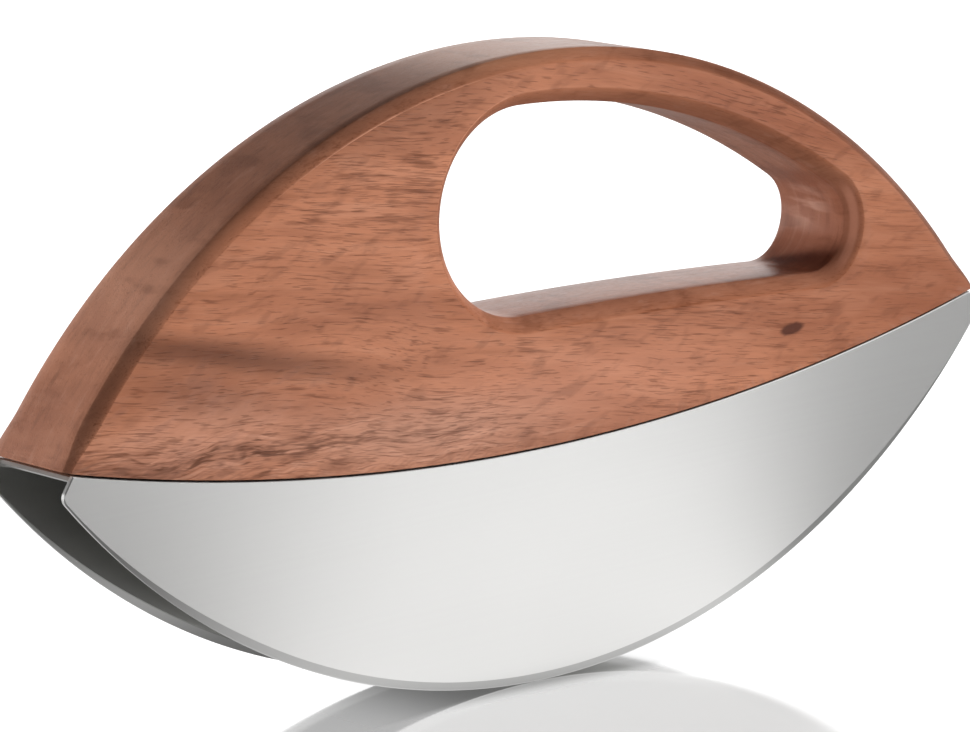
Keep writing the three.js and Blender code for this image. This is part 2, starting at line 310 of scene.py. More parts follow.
def blade_outline():
    """Outline of a blade as two rows of points, top and foot, with the normals into the steel.

    The top row follows the seam's arc. The foot row follows one end, its rounded corner, the cutting
    edge's arc and the other corner and end. ground is 1 along the cutting edge and 0 at the ends.
    """
    top_x, top_z = axis_crossing(CROWN_Z, BLADE_END_RADIUS, SEAM_Z, STEEL_TOP_RADIUS)
    corner_x, corner_z = axis_crossing(
        CROWN_Z, BLADE_END_RADIUS - BLADE_TIP_RADIUS, EDGE_Z, EDGE_RADIUS - BLADE_TIP_RADIUS
    )
    crown = (0, CROWN_Z)
    edge = (0, EDGE_Z)
    corner = (corner_x, corner_z)
    foot_angle = bearing(edge, corner)
    end_angle = bearing(crown, corner)
    top_angle = bearing(crown, (top_x, top_z))
    arcs = [
        (edge, EDGE_RADIUS, -math.pi / 2, foot_angle, EDGE_STEPS),
        (corner, BLADE_TIP_RADIUS, foot_angle, end_angle, CORNER_STEPS),
        (crown, BLADE_END_RADIUS, end_angle, top_angle, END_STEPS),
    ]
    foot = []
    inward = []
    for centre, radius, begin, end, steps in arcs:
        angle = np.linspace(begin, end, steps, endpoint=False)
        ray = np.stack([np.cos(angle), np.sin(angle)], axis=-1)
        foot.append(np.array(centre) + ray * radius)
        inward.append(-ray)
    foot = np.concatenate(foot)
    inward = np.concatenate(inward)
    fade_begin = EDGE_STEPS - BEVEL_FADE_STEPS
    fade_end = EDGE_STEPS + CORNER_STEPS / 2
    ground = 1 - smoothstep(np.arange(len(foot)), fade_begin, fade_end)
    mirror = np.array([-1, 1])
    foot = np.concatenate([foot[:0:-1] * mirror, foot])
    inward = np.concatenate([inward[:0:-1] * mirror, inward])
    ground = np.concatenate([ground[:0:-1], ground])

    x = np.linspace(-top_x, top_x, len(foot))
    top = np.stack([x, SEAM_Z - np.sqrt(STEEL_TOP_RADIUS**2 - x**2)], axis=-1)
    downward = (top - np.array([0, SEAM_Z])) / STEEL_TOP_RADIUS
    downward[[0, -1]] += inward[[0, -1]]
    return top, downward, foot, inward, ground


def blade(name, node, side, finish):
    """Crescent blade: an edge profile carried round the outline, and a flat face on each side.

    The profile has four points: a face's edge, two corners of the narrow side, the other face's edge.
    Along the cutting edge it is a double bevel and elsewhere a square side with broken corners.
    """
    top, downward, foot, inward, ground = blade_outline()
    half = BLADE_THICKNESS / 2
    middle = side * (HALF_BODY - half)
    outline = np.concatenate([top, foot[::-1], top[:1]])
    normal = np.concatenate([downward, inward[::-1], downward[:1]])
    ground = np.concatenate([np.zeros(len(top)), ground[::-1], [0]])
    inset = EDGE_BREAK + (BEVEL_HEIGHT - EDGE_BREAK) * ground
    land = half - EDGE_BREAK + (EDGE_LAND / 2 - half + EDGE_BREAK) * ground
    face_edge = outline + normal * inset[:, None]
    narrow = np.stack(
        [
            grid(face_edge[:, 0], middle - half, face_edge[:, 1]),
            grid(outline[:, 0], middle - land, outline[:, 1]),
            grid(outline[:, 0], middle + land, outline[:, 1]),
            grid(face_edge[:, 0], middle + half, face_edge[:, 1]),
        ],
        axis=1,
    )
    count = len(top)
    front = between(narrow[:count, 0], narrow[-2 : count - 1 : -1, 0], FACE_STEPS)
    rear = between(narrow[:count, 3], narrow[-2 : count - 1 : -1, 3], FACE_STEPS)
    on_narrow = (ground[:, None] * np.array([0, 1, 1, 0])).ravel()
    marks = {"bevel": np.concatenate([on_narrow, np.zeros(2 * front.size // 3)])}
    made = piece(name, [narrow, front, rear], finish, sharp_degrees=10, marks=marks)
    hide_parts(node)


def bridge_plate():
    """Strip between the blades: a flat-topped section carried along the seam's arc.

    Its underside curls down at both sides in the hollow quarter rounds of the welds.
    """
    half = HALF_BODY - BLADE_THICKNESS
    end_radius = BLADE_END_RADIUS - PLATE_END_INSET
    turn = np.linspace(0, math.pi / 2, ROUND_STEPS + 1)
    flat = np.linspace(-1, 1, FLAT_STEPS + 1)[1:-1] * (half - WELD_FILLET)
    curl = half - WELD_FILLET * (1 - np.sin(turn))
    y = np.concatenate([-curl[::-1], flat, curl])
    drop = WELD_FILLET * (1 - np.cos(turn))
    low = PLATE_THICKNESS + np.concatenate([drop[::-1], np.zeros_like(flat), drop])

    def surface(depth, inset):
        """Rows along the arc at a depth below the seam, cut along the line of the blades' ends."""
        radius = STEEL_TOP_RADIUS + depth
        end_x, end_z = axis_crossing(CROWN_Z, end_radius - inset, SEAM_Z, radius)
        angle = np.arctan2(end_x, SEAM_Z - end_z) * np.linspace(-1, 1, PLATE_ROWS)[:, None]
        return grid(radius * np.sin(angle), y, SEAM_Z - radius * np.cos(angle))

    upper = surface(np.zeros_like(y), PLATE_BREAK)
    lower = surface(low, PLATE_BREAK)
    high_end = surface(np.full_like(y, PLATE_BREAK), 0)
    low_end = surface(low - PLATE_BREAK, 0)
    sides = [between(upper[:, j], lower[:, j], 1) for j in (0, -1)]
    ends = [np.stack([upper[i], high_end[i], low_end[i], lower[i]]) for i in (0, -1)]
    cheeks = [end[:, [j, j]] for end in ends for j in (0, -1)]
    for cheek in cheeks:
        cheek[1:3, 0] = cheek[[0, 3], 0]
    patches = [upper, lower, *sides, *ends, *cheeks]
    made = piece("bridge", patches, plate_steel(), sharp_degrees=30)
    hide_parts("bridge_plate")


def screw_form():
    """Pan-head wood screw about Z with its seat at Z = 0: radius and height over angle and row.

    The domed head is a superellipse with a cross pressed into it, and the shank a cylinder and a point
    whose radius falls by the thread's depth away from a helix.
    """
    angle = np.linspace(0, 2 * math.pi, SCREW_SIDES + 1)
    radius = np.linspace(0, HEAD_RADIUS, SCREW_HEAD_ROWS)[:, None]
    bulge = np.sqrt(1 - (radius / HEAD_RADIUS) ** HEAD_DOME_POWER)
    dome = -HEAD_SIDE - (HEAD_HEIGHT - HEAD_SIDE) * bulge
    x = radius * np.cos(angle)
    y = radius * np.sin(angle)

    def bar(along, across):
        """1 inside a bar of the cross, easing to 0 over its border."""
        inside_length = smoothstep(RECESS_LENGTH / 2 - np.abs(along), -RECESS_EASE, RECESS_EASE)
        return inside_length * smoothstep(RECESS_WIDTH / 2 - np.abs(across), -RECESS_EASE, RECESS_EASE)

    head = grid(x, y, dome + RECESS_DEPTH * np.maximum(bar(x, y), bar(y, x)))
    ring = np.array([HEAD_RADIUS, HEAD_RADIUS, SCREW_RADIUS - THREAD_DEPTH])[:, None]
    skirt = grid(ring * np.cos(angle), ring * np.sin(angle), np.array([-HEAD_SIDE, 0, 0])[:, None])

    height = np.linspace(0, SCREW_LENGTH, SCREW_SHANK_ROWS)[:, None]
    taper = np.clip((SCREW_LENGTH - height) / SCREW_POINT_LENGTH, 0, 1)
    phase = (height / THREAD_PITCH - angle / (2 * math.pi)) % 1
    run_in = smoothstep(height, SCREW_PLAIN_LENGTH, SCREW_PLAIN_LENGTH + THREAD_RUN_IN)
    crest = (1 - np.abs(2 * phase - 1)) ** 2 * run_in
    core = SCREW_RADIUS - THREAD_DEPTH * (1 - crest)
    shank = grid(core * taper * np.cos(angle), core * taper * np.sin(angle), height)
    return [head, skirt, shank]


def screws():
    """The screws, square to the plate, with their heads under it."""
    depth = STEEL_TOP_RADIUS + PLATE_THICKNESS + SEAT_GAP
    finish = screw_steel()
    form = screw_form()
    for number in range(SCREW_COUNT):
        along = (number - (SCREW_COUNT - 1) / 2) * SCREW_SPACING
        lean = -along / depth
        turned = np.array(Matrix.Rotation(lean, 3, "Y"))
        seat = np.array([0, 0, SEAM_Z]) + turned @ np.array([0, 0, -depth])
        placed = [patch @ turned.T + seat for patch in form]
        made = piece(f"plate_screw_{number + 1}", placed, finish, sharp_degrees=35)
        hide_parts(f"screw_{number + 1}")


def linear(red, green, blue):
    """A display colour of 0 to 255 as the linear colour that a shader takes."""
    share = np.array([red, green, blue]) / 255
    level = np.where(share <= 0.04045, share / 12.92, ((share + 0.055) / 1.055) ** 2.4)
    return (*level.tolist(), 1)


class Nodes:
    """A node tree with short calls for the nodes that the finishes share."""

    def __init__(self, tree):
        self.tree = tree

    def add(self, kind, inputs=None, **settings):
        """A new node with its settings, its numbers and its links."""
        node = self.tree.nodes.new(kind)
        for key, value in settings.items():
            setattr(node, key, value)
        for key, value in (inputs or {}).items():
            self.feed(node.inputs[key], value)
        return node

    def feed(self, socket, value):
        """Links an output to a socket, or sets the socket's own value."""
        if isinstance(value, bpy.types.NodeSocket):
            self.tree.links.new(value, socket)
        else:
            socket.default_value = value

    def math(self, operation, first, second=0.0):
        """One operation on one or two values."""
        return self.add("ShaderNodeMath", {0: first, 1: second}, operation=operation).outputs[0]

    def product(self, first, *others):
        """Product of two or more values."""
        for other in others:
            first = self.math("MULTIPLY", first, other)
        return first

    def vector(self, operation, first, second):
        """One operation on two vectors."""
        return self.add("ShaderNodeVectorMath", {0: first, 1: second}, operation=operation).outputs[0]

    def point(self, x, y, z):
        """Vector from its three parts."""
        return self.add("ShaderNodeCombineXYZ", {0: x, 1: y, 2: z}).outputs[0]

    def axes(self, place):
        """The three parts of a vector."""
        return self.add("ShaderNodeSeparateXYZ", {0: place}).outputs[:3]

    def mapped(self, place, scale=(1, 1, 1), turn=(0, 0, 0)):
        """Coordinates times a scale, then turned."""
        inputs = {"Vector": place, "Scale": scale, "Rotation": turn}
        return self.add("ShaderNodeMapping", inputs).outputs[0]

    def noise(self, place, cells, detail=2.0, roughness=0.5):
        """Fractal noise from 0 to 1, with a number of cells to the metre along each axis."""
        inputs = {"Vector": self.mapped(place, scale=cells), "Scale": 1.0}
        inputs.update({"Detail": detail, "Roughness": roughness})
        return self.add("ShaderNodeTexNoise", inputs).outputs[0]

    def drift(self, place, cells, width, detail):
        """Noise about zero, of a given width."""
        return self.product(self.math("SUBTRACT", self.noise(place, cells, detail), 0.5), width)

    def ramp(self, value, low, high, bottom=0.0, top=1.0):
        """Smooth step of a value from low to high, given as bottom to top."""
        inputs = {"Value": value, "From Min": low, "From Max": high, "To Min": bottom, "To Max": top}
        return self.add("ShaderNodeMapRange", inputs, interpolation_type="SMOOTHSTEP").outputs[0]

    def mix(self, share, first, second):
        """Mix of two colours."""
        return self.add("ShaderNodeMix", {0: share, 6: first, 7: second}, data_type="RGBA").outputs[2]

    def blend(self, share, first, second):
        """Mix of two values."""
        return self.add("ShaderNodeMix", {0: share, 2: first, 3: second}).outputs[0]

    def bump(self, height, distance, strength, under=None):
        """Normal of a relief, on top of another relief where one is given."""
        inputs = {"Height": height, "Distance": distance, "Strength": strength}
        if under is not None:
            inputs["Normal"] = under
        return self.add("ShaderNodeBump", inputs).outputs[0]


class Finish(Nodes):
    """One material with its surface shader, patterned in the tool's own coordinates."""

    def __init__(self, name):
        self.material = bpy.data.materials.new(name)
        self.material.use_nodes = True
        super().__init__(self.material.node_tree)
        self.surface = self.tree.nodes["Principled BSDF"]
        self.place = self.add("ShaderNodeTexCoord").outputs["Object"]
        self.x, self.y, self.z = self.axes(self.place)

    def set(self, **values):
        """Values or links of the surface shader, by socket name with _ for a space."""
        for key, value in values.items():
            self.feed(self.surface.inputs[key.replace("_", " ")], value)

    def attribute(self, name):
        """A mark that the mesh carries."""
        return self.add("ShaderNodeAttribute", attribute_name=name).outputs["Fac"]

    def base(self, share, first, second):
        """Starts the colour as a mix of two display colours."""
        self.colour = self.mix(share, linear(*first), linear(*second))

    def tint(self, display, *shares):
        """Lays a display colour over the colour so far, by the product of the shares."""
        self.colour = self.mix(self.product(*shares), self.colour, linear(*display))

    def from_axis(self, height):
        """Distance from a line along Y that crosses X = 0 at a height."""
        rise = self.math("SUBTRACT", self.z, height)
        squares = self.math("ADD", self.math("POWER", self.x, 2.0), self.math("POWER", rise, 2.0))
        return self.math("SQRT", squares)

    def mound(self, centre, reach, lean=0, place=None):
        """1 at a point, falling smoothly to 0 at the skin of an ellipsoid that leans down towards +X.

        The centre and the reach are in millimetres, and the lean is in degrees.
        """
        moved = self.vector("SUBTRACT", place or self.place, tuple(c * MM for c in centre))
        turned = self.mapped(moved, turn=(0, -math.radians(lean), 0))
        scaled = self.mapped(turned, scale=tuple(1 / (r * MM) for r in reach))
        length = self.add("ShaderNodeVectorMath", {0: scaled}, operation="LENGTH").outputs["Value"]
        return self.ramp(length, 1.0, 0.0)


# Wood: lie of its grain
GRAIN_LEAN = math.radians(9)  # the grain falls this much towards +X
GRAIN_BEND = 230 * MM  # radius of its bend down the right half of the arch
GRAIN_BEND_RISE = (54 * MM, 84 * MM)  # heights between which the bend sets in
GRAIN_SWAY = 5 * MM
SEAM_LEAN = math.radians(2.6)  # beside the seam it lies flatter
SEAM_RIPPLE = 4 * MM
CURL_LEAN = math.radians(-14)

# Wood: cells of its patterns to the metre, along the grain, through the plank and across the grain
SWAY_CELLS = (22, 40, 40)
FIGURE_CELLS = (11, 70, 70)
STREAK_CELLS = (30, 480, 480)
BLOTCH_CELLS = (48, 120, 230)
FIBRE_CELLS = (150, 5200, 5200)
DASH_CELLS = (105, 1650, 1650)
PORE_CELLS = (240, 4300, 4300)
PORE_FIELD_CELLS = (30, 120, 120)
RIPPLE_CELLS = (75, 40, 120)
WAVE_CELLS = (80, 200, 1000)
SMEAR_CELLS = (210, 300, 1500)
CURL_CELLS = (160, 90, 420)
RIM_LINE_CELLS = (16, 700, 1)  # to the radian round the crown's centre

# Wood: depth of its relief, and its oil film
FIBRE_RELIEF = 0.02 * MM
PORE_RELIEF = 0.04 * MM
OIL_SHEEN = 0.47
OIL_TINT = (1.0, 0.84, 0.71, 1)
OIL_COAT = 0.24
OIL_COAT_ROUGHNESS = 0.15

# Wood: patches of the face, with middle and reach in millimetres, lean in degrees, strength and colour
FRONT = -HALF_BODY / MM  # Y of the front face
FACE_PATCHES = {
    "shade left of the crown": ((-28, FRONT, 94), (40, 12, 8), -14, 0.5, (112, 66, 46)),
    "red right of the crown": ((43, FRONT, 87), (44, 12, 8), 20, 0.46, (122, 65, 46)),
    "dark streak": ((-66, FRONT, 62.4), (48, 9, 4.2), 14, 0.95, (102, 57, 37)),
    "shade under the streak": ((-70, FRONT, 57), (24, 9, 6), 14, 0.7, (114, 66, 46)),
    "pale middle": ((2, FRONT, 46), (55, 12, 11), 0, 0.35, (208, 144, 116)),
    "pale left end": ((-72, FRONT, 50), (34, 12, 9), 0, 0.4, (198, 148, 126)),
    "pale seam": ((-28, FRONT, 44), (44, 12, 9), 4, 0.5, (206, 156, 132)),
    # painted shade: the right end of the plank darker
    "painted shade at the right end": ((88, 0, 52), (62, 60, 46), 0, 0.5, (132, 76, 52)),
}


class OiledWood(Finish):
    """Reddish-brown plank: figure and streaks along the grain, short dark pores, a satin oil film."""

    def __init__(self):
        super().__init__("oiled_wood")
        self.rim = self.attribute("end_grain")
        self.wear_and_painted_light = self.attribute("mid_corner")
        from_crown = self.from_axis(CROWN_Z)
        self.arch_outside = self.ramp(from_crown, CROWN_RADIUS - 5 * MM, CROWN_RADIUS - 3 * MM)
        self.inboard = self.math("SUBTRACT", 1.0, self.arch_outside)
        self.arch_inside = self.product(self.inboard, self.ramp(self.z, 64 * MM, 74 * MM))
        self.grain = self.grain_place()
        self.streaks = self.noise(self.grain, STREAK_CELLS, detail=3.0, roughness=0.6)
        self.fibre = self.noise(self.grain, FIBRE_CELLS, roughness=0.65)
        leaning = self.mapped(self.place, turn=(0, -CURL_LEAN, 0))
        self.curls = self.noise(leaning, CURL_CELLS, detail=3.0)
        self.plank()
        self.seam_figure()
        self.rim_lines()
        self.dashes_and_pores()
        self.single_marks()
        self.painted_edge_light_and_wear()
        self.oil_film()

    def grain_place(self):
        """Coordinates along the grain, which leans, bends down the right of the arch and sways."""
        squared = self.math("POWER", self.math("MAXIMUM", self.x, 0.0), 2.0)
        bend = self.product(squared, 1 / (2 * GRAIN_BEND), self.ramp(self.z, *GRAIN_BEND_RISE))
        bent = self.point(self.x, self.y, self.math("ADD", self.z, bend))
        along = self.mapped(bent, turn=(0, -GRAIN_LEAN, 0))
        sway = self.drift(along, SWAY_CELLS, GRAIN_SWAY, detail=1.0)
        return self.vector("ADD", along, self.point(0.0, sway, sway))

    def plank(self):
        """Broad figure, streaks, fibres and blotches, then the patches of the face."""
        figure = self.noise(self.grain, FIGURE_CELLS)
        self.base(self.ramp(figure, 0.34, 0.66), (158, 97, 69), (189, 123, 91))
        self.tint((132, 78, 50), self.ramp(self.streaks, 0.52, 0.76, 0.0, 0.4))
        self.tint((202, 142, 112), self.ramp(self.streaks, 0.26, 0.46, 0.35, 0.0))
        self.tint((120, 68, 42), self.ramp(self.fibre, 0.3, 0.7, 0.16, 0.0))
        blotches = self.noise(self.grain, BLOTCH_CELLS)
        self.tint((126, 70, 46), self.ramp(blotches, 0.5, 0.68, 0.0, 0.28))
        self.tint((204, 142, 112), self.ramp(blotches, 0.46, 0.32, 0.0, 0.25))
        for middle, reach, lean, strength, display in FACE_PATCHES.values():
            self.tint(display, self.mound(middle, reach, lean), strength)

    def seam_figure(self):
        """Wavy figure along the seam, darkest at the left, with one long vein and pale curls above it."""
        self.seam_field = self.ramp(self.mound((-48, 0, 43.5), (80, 40, 10.5), 4), 0.0, 0.5)
        left_side = self.ramp(self.x, -28 * MM, -76 * MM, 0.25, 1.2)
        dark_field = self.product(self.seam_field, left_side)
        ripple = self.drift(self.place, RIPPLE_CELLS, SEAM_RIPPLE, detail=2.0)
        rippled = self.vector("ADD", self.place, self.point(0.0, 0.0, ripple))
        self.flowing = self.mapped(rippled, turn=(0, -SEAM_LEAN, 0))

        waves = self.noise(self.flowing, WAVE_CELLS, detail=3.0, roughness=0.6)
        self.tint((102, 56, 34), self.ramp(waves, 0.5, 0.68, 0.0, 0.5), dark_field)
        self.tint((206, 150, 124), self.ramp(waves, 0.47, 0.36, 0.0, 0.5), self.seam_field)
        smears = self.noise(self.flowing, SMEAR_CELLS, roughness=0.6)
        self.tint((94, 48, 25), self.ramp(smears, 0.52, 0.7, 0.0, 0.85), dark_field)
        vein = self.ramp(self.mound((-56, FRONT, 46), (74, 12, 1.9), 3.3, rippled), 0.1, 0.6)
        broken = self.ramp(smears, 0.4, 0.6, 0.1, 0.85)
        self.tint((86, 42, 20), vein, broken, self.ramp(left_side, 0.25, 1.0, 0.5, 1.0))

        curl_field = self.mound((-70, 0, 52), (40, 40, 15))
        self.tint((204, 146, 122), self.ramp(self.curls, 0.45, 0.7, 0.0, 0.45), curl_field)
        self.tint((130, 82, 62), self.ramp(self.curls, 0.48, 0.3, 0.0, 0.45), curl_field)

    def rim_lines(self):
        """Greyer rim and grip wall with long lines round them, painted shade at the left tip and painted
        light above it.
        """
        self.tint((158, 115, 97), self.rim, 0.4)
        turn = self.math("ARCTAN2", self.x, self.math("SUBTRACT", self.z, CROWN_Z))
        along_rim = self.point(turn, self.y, 0.0)
        lines = self.noise(along_rim, RIM_LINE_CELLS, detail=3.0, roughness=0.65)
        self.tint((104, 70, 56), self.rim, self.ramp(lines, 0.5, 0.72, 0.0, 0.38))
        self.tint((190, 144, 124), self.rim, self.ramp(lines, 0.46, 0.3, 0.0, 0.32))
        # painted shade: the rim darker at the left tip
        self.tint((118, 82, 68), self.mound((-92, 0, 52), (26, 60, 22)), self.rim, 0.4)
        # painted light: the rim paler above the left tip, where it faces the light from the left
        self.tint((200, 148, 124), self.mound((-73, 0, 73), (20, 60, 20)), self.rim, 0.45)

    def dashes_and_pores(self):
        """Short brown dashes and darker pores, thickest on the upper face and along the seam."""
        pore_field = self.noise(self.grain, PORE_FIELD_CELLS, detail=1.0)
        in_field = self.ramp(pore_field, 0.4, 0.7, 0.0, 0.05)
        rich = self.math("ADD", self.product(self.seam_field, 0.05), in_field)
        upper_face = self.mound((-32, FRONT, 82), (34, 12, 22))
        rich = self.math("ADD", rich, self.product(upper_face, 0.05))
        thinner_right = self.ramp(self.x, 45 * MM, 80 * MM, 1.0, 0.6)
        on_face = self.product(self.ramp(self.rim, 0.0, 0.9, 1.0, 0.35), thinner_right)

        along_grain = self.noise(self.grain, DASH_CELLS, roughness=0.6)
        along_seam = self.noise(self.flowing, DASH_CELLS, roughness=0.6)
        dashes = self.blend(self.seam_field, along_grain, along_seam)
        dash = self.product(self.ramp(self.math("ADD", dashes, rich), 0.57, 0.76), on_face)
        self.tint((96, 44, 18), dash, 0.55)
        pores = self.noise(self.grain, PORE_CELLS, detail=1.0)
        self.pore = self.product(self.ramp(self.math("ADD", pores, rich), 0.6, 0.72), on_face)
        self.tint((66, 28, 9), self.pore, 0.38)

    def single_marks(self):
        """Painted highlight on the crown, painted shade on the nose of the grip opening with a painted
        reflection on it, and the knot.
        """
        # painted highlight: the crown's sheen laid into its colour
        self.tint((216, 150, 112), self.mound((-8, 0, 101), (34, 60, 7)), self.rim, 0.5)
        # painted shade on the nose wall inside the grip opening
        nose = self.product(self.rim, self.mound((66, 0, 65), (14, 30, 13)))
        self.tint((112, 62, 48), self.ramp(nose, 0.0, 0.3), 0.4)
        # painted reflection: a pale patch on the nose wall
        spot = self.mound((66, 1, 66), (7, 7, 6))
        self.tint((190, 146, 128), spot, self.ramp(self.curls, 0.42, 0.62, 0.0, 0.8))
        knot = self.mound((52.3, FRONT, 48.5), (4.8, 3, 1.5), -4)
        ragged = self.math("ADD", knot, self.ramp(self.curls, 0.3, 0.7, -0.2, 0.2))
        self.tint((72, 26, 6), self.ramp(ragged, 0.05, 0.5), 0.97)

    def painted_edge_light_and_wear(self):
        """Eased corners: painted light on a stretch at the upper left, painted shade low at the left, on
        the grip's mouth and on the right of the arch, painted highlights along the nose's mouth and along
        the face's border left of the crown, and rubbed borders.
        """
        # painted light on a stretch of the eased corner at the upper left
        self.tint((196, 128, 96), self.mound((-64, FRONT, 79), (17, 12, 17)), self.wear_and_painted_light, 0.6)
        # painted shade on the eased corner low at the left
        self.tint((80, 46, 32), self.mound((-86, FRONT, 60), (15, 12, 17)), self.wear_and_painted_light, 0.4)
        # painted shade on the eased corners of the grip's mouth under the arch
        self.tint((92, 54, 38), self.wear_and_painted_light, self.arch_inside, 0.45)
        # painted shade on the eased corner at the right of the arch
        right_half = self.ramp(self.x, 5 * MM, 45 * MM)
        self.tint((84, 46, 31), self.wear_and_painted_light, self.arch_outside, right_half, 0.8)
        # painted highlight along the middle of the nose's mouth
        nose_mouth = self.ramp(self.mound((70, FRONT, 63), (11, 12, 13)), 0.0, 0.5)
        self.tint((196, 136, 112), nose_mouth, self.ramp(self.wear_and_painted_light, 0.8, 1.0), 0.55)
        # painted highlight: a pale line along the face's border left of the crown
        border = self.product(self.ramp(self.rim, 0.0, 0.1), self.ramp(self.rim, 0.36, 0.12))
        left_of_crown = self.mound((-34, FRONT, 94), (44, 12, 20))
        self.tint((214, 152, 124), border, left_of_crown, self.ramp(self.streaks, 0.3, 0.6, 0.4, 0.9))
        self.tint((176, 118, 92), self.wear_and_painted_light, self.ramp(self.streaks, 0.35, 0.65, 0.06, 0.2))

    def oil_film(self):
        """Roughness, relief and sheen, drier on rubbed corners, the grip's ceiling and its floor's front.
        """
        fibrous = self.ramp(self.fibre, 0.3, 0.7, 0.3, 0.4)
        roughness = self.math("ADD", fibrous, self.product(self.pore, 0.15))
        roughness = self.math("SUBTRACT", roughness, self.product(self.wear_and_painted_light, 0.05))
        relief = self.bump(self.fibre, FIBRE_RELIEF, 0.5)
        relief = self.bump(self.product(self.pore, -1.0), PORE_RELIEF, 0.8, relief)
        self.set(Base_Color=self.colour, Roughness=roughness, Normal=relief, Metallic=0.0)
        ceiling = self.product(self.rim, self.arch_inside)
        on_flats = self.ramp(self.wear_and_painted_light, 0.0, 0.5, 1.0, 0.05)
        oiled = self.product(on_flats, self.ramp(ceiling, 0.0, 1.0, 1.0, 0.35))
        grip_floor = self.product(self.math("SUBTRACT", self.rim, ceiling), self.inboard)
        dry_front = self.ramp(self.y, -HALF_BODY + 2 * MM, 4 * MM, 0.25, 1.0)
        oiled = self.product(oiled, self.blend(grip_floor, 1.0, dry_front))
        self.set(Specular_IOR_Level=self.product(oiled, OIL_SHEEN), Specular_Tint=OIL_TINT)
        self.set(Coat_Weight=self.product(oiled, OIL_COAT), Coat_Roughness=OIL_COAT_ROUGHNESS)


# Steel: cells of its patterns to the metre along X, Y and Z
BLADE_BRUSH_CELLS = (10, 300, 1600)
BLADE_CLOUD_CELLS = (18, 60, 30)
BEVEL_GRIND_CELLS = (520, 260, 200)  # to the radian along the edge
PLATE_BRUSH_CELLS = (50, 3600, 800)
PLATE_STAIN_CELLS = (90, 300, 300)
SCREW_MOTTLE_CELLS = (900, 900, 900)
SCREW_SCUFF_CELLS = (2600, 700, 2600)

# Steel: its relief, and widths of its zones
BLADE_RELIEF = 0.004 * MM
PLATE_RELIEF = 0.006 * MM
SCREW_RELIEF = 0.006 * MM
HONED_WIDTH = 0.25 * MM
HEAT_WIDTH = 2.5 * MM
INNER_FACE_MARGIN = 0.05 * MM


def blade_steel():
    """Satin sheet brushed along X, with marks across the bevel where the grinding wheel passed, and
    painted shade on the inner faces and the bevels.
    """
    f = Finish("satin_blade_steel")
    radius = f.from_axis(EDGE_Z)
    turn = f.math("ARCTAN2", f.x, f.math("SUBTRACT", EDGE_Z, f.z))
    along_edge = f.point(turn, radius, f.y)
    off_middle = f.math("ABSOLUTE", f.x)
    depth = f.math("ABSOLUTE", f.y)
    bevel = f.ramp(f.attribute("bevel"), 0.0, 0.04)
    honed = f.ramp(radius, EDGE_RADIUS - HONED_WIDTH, EDGE_RADIUS)
    inner = f.math("LESS_THAN", depth, HALF_BODY - BLADE_THICKNESS + INNER_FACE_MARGIN)
    outside = f.ramp(depth, HALF_BODY - 0.6 * BLADE_THICKNESS, HALF_BODY - 0.4 * BLADE_THICKNESS)

    brushed = f.noise(f.place, BLADE_BRUSH_CELLS)
    clouds = f.noise(f.place, BLADE_CLOUD_CELLS)
    ground = f.noise(along_edge, BEVEL_GRIND_CELLS, roughness=0.7)
    lines = f.blend(bevel, brushed, ground)
    f.base(lines, (222, 221, 220), (225, 225, 223))
    # painted shade: the inner faces, which face each other between the blades, darker towards the middle
    f.tint((184, 184, 180), inner, f.ramp(off_middle, 92 * MM, 62 * MM, 0.5, 0.9))
    # painted shade: the bevels darker, the outer bevel most in the middle of the blade and the inner bevel
    # evenly
    outer_bevel = f.ramp(off_middle, 45 * MM, 88 * MM, 0.65, 0.2)
    f.tint((166, 166, 165), bevel, f.blend(outside, 0.25, outer_bevel))
    f.tint((232, 232, 231), honed, 0.5)

    cloudy = f.ramp(clouds, 0.3, 0.7, -0.005, 0.015)
    roughness = f.math("ADD", f.ramp(lines, 0.3, 0.7, 0.29, 0.31), cloudy)
    tangent = f.add("ShaderNodeTangent", direction_type="RADIAL", axis="Z").outputs[0]
    f.set(Base_Color=f.colour, Roughness=roughness, Normal=f.bump(lines, BLADE_RELIEF, 0.02))
    f.set(Tangent=tangent, Anisotropic=0.5, Anisotropic_Rotation=0.25, Metallic=1.0)
    return f.material


def plate_steel():
    """Plain satin strip, brushed along X, dulled and tinted beside the welds."""
    f = Finish("satin_plate_steel")
    half = HALF_BODY - BLADE_THICKNESS
    heat = f.ramp(f.math("ABSOLUTE", f.y), half - HEAT_WIDTH, half)
    brushed = f.noise(f.place, PLATE_BRUSH_CELLS, detail=3.0, roughness=0.7)
    stain = f.noise(f.place, PLATE_STAIN_CELLS)
    f.base(brushed, (182, 182, 181), (206, 206, 204))
    f.tint((150, 140, 128), heat, f.ramp(stain, 0.35, 0.65, 0.1, 0.45))
    roughness = f.math("ADD", f.ramp(brushed, 0.3, 0.7, 0.34, 0.44), f.product(heat, 0.08))
    f.set(Base_Color=f.colour, Roughness=roughness, Metallic=1.0)
    f.set(Normal=f.bump(brushed, PLATE_RELIEF, 0.5))
    return f.material


def screw_steel():
    """Bright plated steel with a faint blue cast, scuffed in short strokes."""
    f = Finish("bright_screw_steel")
    mottle = f.noise(f.place, SCREW_MOTTLE_CELLS, detail=3.0)
    scuffs = f.noise(f.place, SCREW_SCUFF_CELLS, roughness=0.7)
    f.base(f.ramp(mottle, 0.35, 0.65), (176, 180, 184), (200, 202, 203))
    f.tint((214, 213, 210), f.ramp(scuffs, 0.58, 0.72, 0.0, 0.4))
    f.set(Base_Color=f.colour, Roughness=f.ramp(mottle, 0.3, 0.7, 0.29, 0.38), Metallic=1.0)
    f.set(Normal=f.bump(scuffs, SCREW_RELIEF, 0.4))
    return f.material


